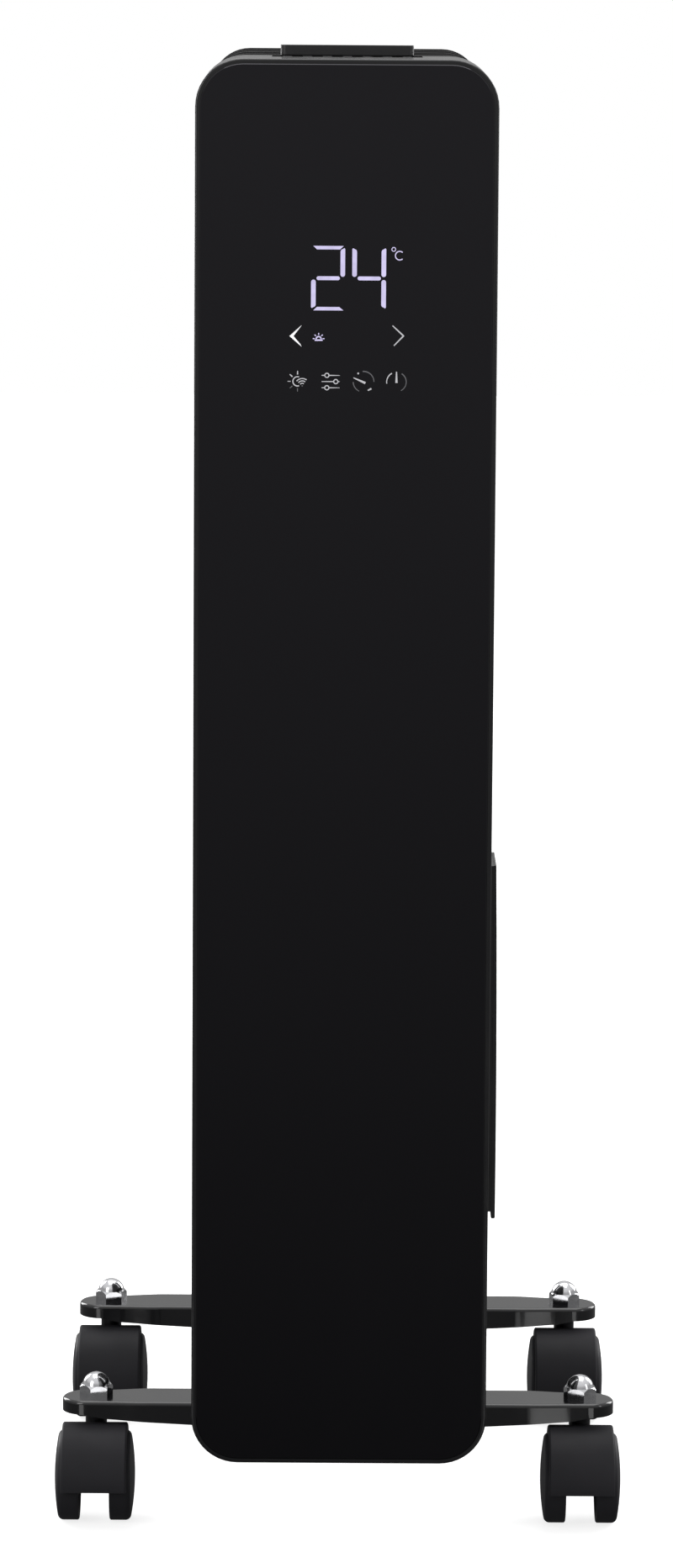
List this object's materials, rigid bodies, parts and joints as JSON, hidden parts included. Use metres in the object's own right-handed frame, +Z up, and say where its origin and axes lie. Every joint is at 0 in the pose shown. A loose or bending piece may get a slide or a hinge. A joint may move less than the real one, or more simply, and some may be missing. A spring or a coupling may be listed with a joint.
{
  "type": "oil filled radiator heater",
  "caption": "Upright oil filled radiator heater: a stack of flat steel fins with a full height touch glass control column, a top handle and twin wheel casters.",
  "frame": {"origin": "on the floor under the middle of the object's bounding box", "axes": "+Z up, the touch glass faces -Y, +X is to the right seen from the touch glass"},
  "size_m": [0.2516, 0.3032, 0.6533],
  "materials": {
    "fin_paint": "satin powder coat",
    "collar_paint": "satin powder coat",
    "bracket_paint": "gloss enamel",
    "glass_black": "gloss, stands in for back painted glass",
    "bezel_plastic": "gloss",
    "housing_plastic": "fine texture",
    "handle_plastic": "fine texture",
    "caster_plastic": "semi matt",
    "wheel_plastic": "semi matt",
    "gland_rubber": "matt",
    "gasket_rubber": "matt",
    "chrome_nut": "polished",
    "zinc_steel": "bright zinc",
    "cover_steel": "satin",
    "element_steel": "drawn",
    "brass_plug": "machined",
    "board_green": "solder resist",
    "board_parts": "moulded",
    "reflector_white": "matt white",
    "terminal_plastic": "natural nylon",
    "pendulum_steel": "turned",
    "stem_black": "black phosphate"
  },
  "bodies": {
    "heater": {"fin_1": "fin_paint", "fin_2": "fin_paint", "fin_3": "fin_paint", "fin_4": "fin_paint", "fin_5": "fin_paint", "fin_6": "fin_paint", "fin_7": "fin_paint", "upper_collars": "collar_paint", "lower_collars": "collar_paint", "upper_plugs": "collar_paint", "oil_filler_plug": "brass_plug", "heating_element": "element_steel", "element_flange": "brass_plug", "element_gasket": "gasket_rubber", "touch_glass": "glass_black", "glass_bezel": "bezel_plastic", "control_housing": "housing_plastic", "cable_gland": "gland_rubber", "rear_cover": "cover_steel", "rear_cover_screws": "zinc_steel", "cover_spacers": "zinc_steel", "cord_bay": "housing_plastic", "cord_door_pin": "zinc_steel", "display_board": "board_green", "display_reflector": "reflector_white", "touch_springs": "zinc_steel", "power_board": "board_green", "power_board_parts": "board_parts", "terminal_block": "terminal_plastic", "room_sensor": "board_parts", "thermal_cutout": "zinc_steel", "tip_switch_cage": "terminal_plastic", "tip_microswitch": "board_parts", "handle": "handle_plastic", "handle_bracket": "cover_steel", "handle_screws": "zinc_steel", "front_foot_bracket": "bracket_paint", "rear_foot_bracket": "bracket_paint", "u_bolts": "zinc_steel", "wing_nuts": "zinc_steel", "caster_stems": "stem_black", "cap_nuts": "chrome_nut"},
    "pendulum": {"tip_pendulum": "pendulum_steel"},
    "cord_door": {"cord_door": "housing_plastic"},
    "caster_front_left": {"caster_front_left": "caster_plastic", "axle_front_left": "zinc_steel"},
    "wheel_front_left_left": {"wheel_front_left_left": "wheel_plastic"},
    "wheel_front_left_right": {"wheel_front_left_right": "wheel_plastic"},
    "caster_front_right": {"caster_front_right": "caster_plastic", "axle_front_right": "zinc_steel"},
    "wheel_front_right_left": {"wheel_front_right_left": "wheel_plastic"},
    "wheel_front_right_right": {"wheel_front_right_right": "wheel_plastic"},
    "caster_rear_left": {"caster_rear_left": "caster_plastic", "axle_rear_left": "zinc_steel"},
    "wheel_rear_left_left": {"wheel_rear_left_left": "wheel_plastic"},
    "wheel_rear_left_right": {"wheel_rear_left_right": "wheel_plastic"},
    "caster_rear_right": {"caster_rear_right": "caster_plastic", "axle_rear_right": "zinc_steel"},
    "wheel_rear_right_left": {"wheel_rear_right_left": "wheel_plastic"},
    "wheel_rear_right_right": {"wheel_rear_right_right": "wheel_plastic"}
  },
  "joints": [
    {"name": "tip_pendulum_swing", "type": "hinge", "parent": "heater", "child": "pendulum", "pos_m": [-0.034, -0.1076, 0.15], "axis": [0, 1, 0], "range_deg": [-12, 12]},
    {"name": "cord_door_hinge", "type": "hinge", "parent": "heater", "child": "cord_door", "pos_m": [0.0656, -0.098, 0.23], "axis": [0, 0, 1], "range_deg": [0, 100]},
    {"name": "swivel_front_left", "type": "hinge", "parent": "heater", "child": "caster_front_left", "pos_m": [-0.108, -0.0586, 0.045], "axis": [0, 0, 1], "continuous": true},
    {"name": "roll_front_left_left", "type": "hinge", "parent": "caster_front_left", "child": "wheel_front_left_left", "pos_m": [-0.12, -0.0726, 0.02], "axis": [1, 0, 0], "continuous": true},
    {"name": "roll_front_left_right", "type": "hinge", "parent": "caster_front_left", "child": "wheel_front_left_right", "pos_m": [-0.096, -0.0726, 0.02], "axis": [1, 0, 0], "continuous": true},
    {"name": "swivel_front_right", "type": "hinge", "parent": "heater", "child": "caster_front_right", "pos_m": [0.108, -0.0586, 0.045], "axis": [0, 0, 1], "continuous": true},
    {"name": "roll_front_right_left", "type": "hinge", "parent": "caster_front_right", "child": "wheel_front_right_left", "pos_m": [0.096, -0.0726, 0.02], "axis": [1, 0, 0], "continuous": true},
    {"name": "roll_front_right_right", "type": "hinge", "parent": "caster_front_right", "child": "wheel_front_right_right", "pos_m": [0.12, -0.0726, 0.02], "axis": [1, 0, 0], "continuous": true},
    {"name": "swivel_rear_left", "type": "hinge", "parent": "heater", "child": "caster_rear_left", "pos_m": [-0.108, 0.1214, 0.045], "axis": [0, 0, 1], "continuous": true},
    {"name": "roll_rear_left_left", "type": "hinge", "parent": "caster_rear_left", "child": "wheel_rear_left_left", "pos_m": [-0.12, 0.1074, 0.02], "axis": [1, 0, 0], "continuous": true},
    {"name": "roll_rear_left_right", "type": "hinge", "parent": "caster_rear_left", "child": "wheel_rear_left_right", "pos_m": [-0.096, 0.1074, 0.02], "axis": [1, 0, 0], "continuous": true},
    {"name": "swivel_rear_right", "type": "hinge", "parent": "heater", "child": "caster_rear_right", "pos_m": [0.108, 0.1214, 0.045], "axis": [0, 0, 1], "continuous": true},
    {"name": "roll_rear_right_left", "type": "hinge", "parent": "caster_rear_right", "child": "wheel_rear_right_left", "pos_m": [0.096, 0.1074, 0.02], "axis": [1, 0, 0], "continuous": true},
    {"name": "roll_rear_right_right", "type": "hinge", "parent": "caster_rear_right", "child": "wheel_rear_right_right", "pos_m": [0.12, 0.1074, 0.02], "axis": [1, 0, 0], "continuous": true}
  ]
}
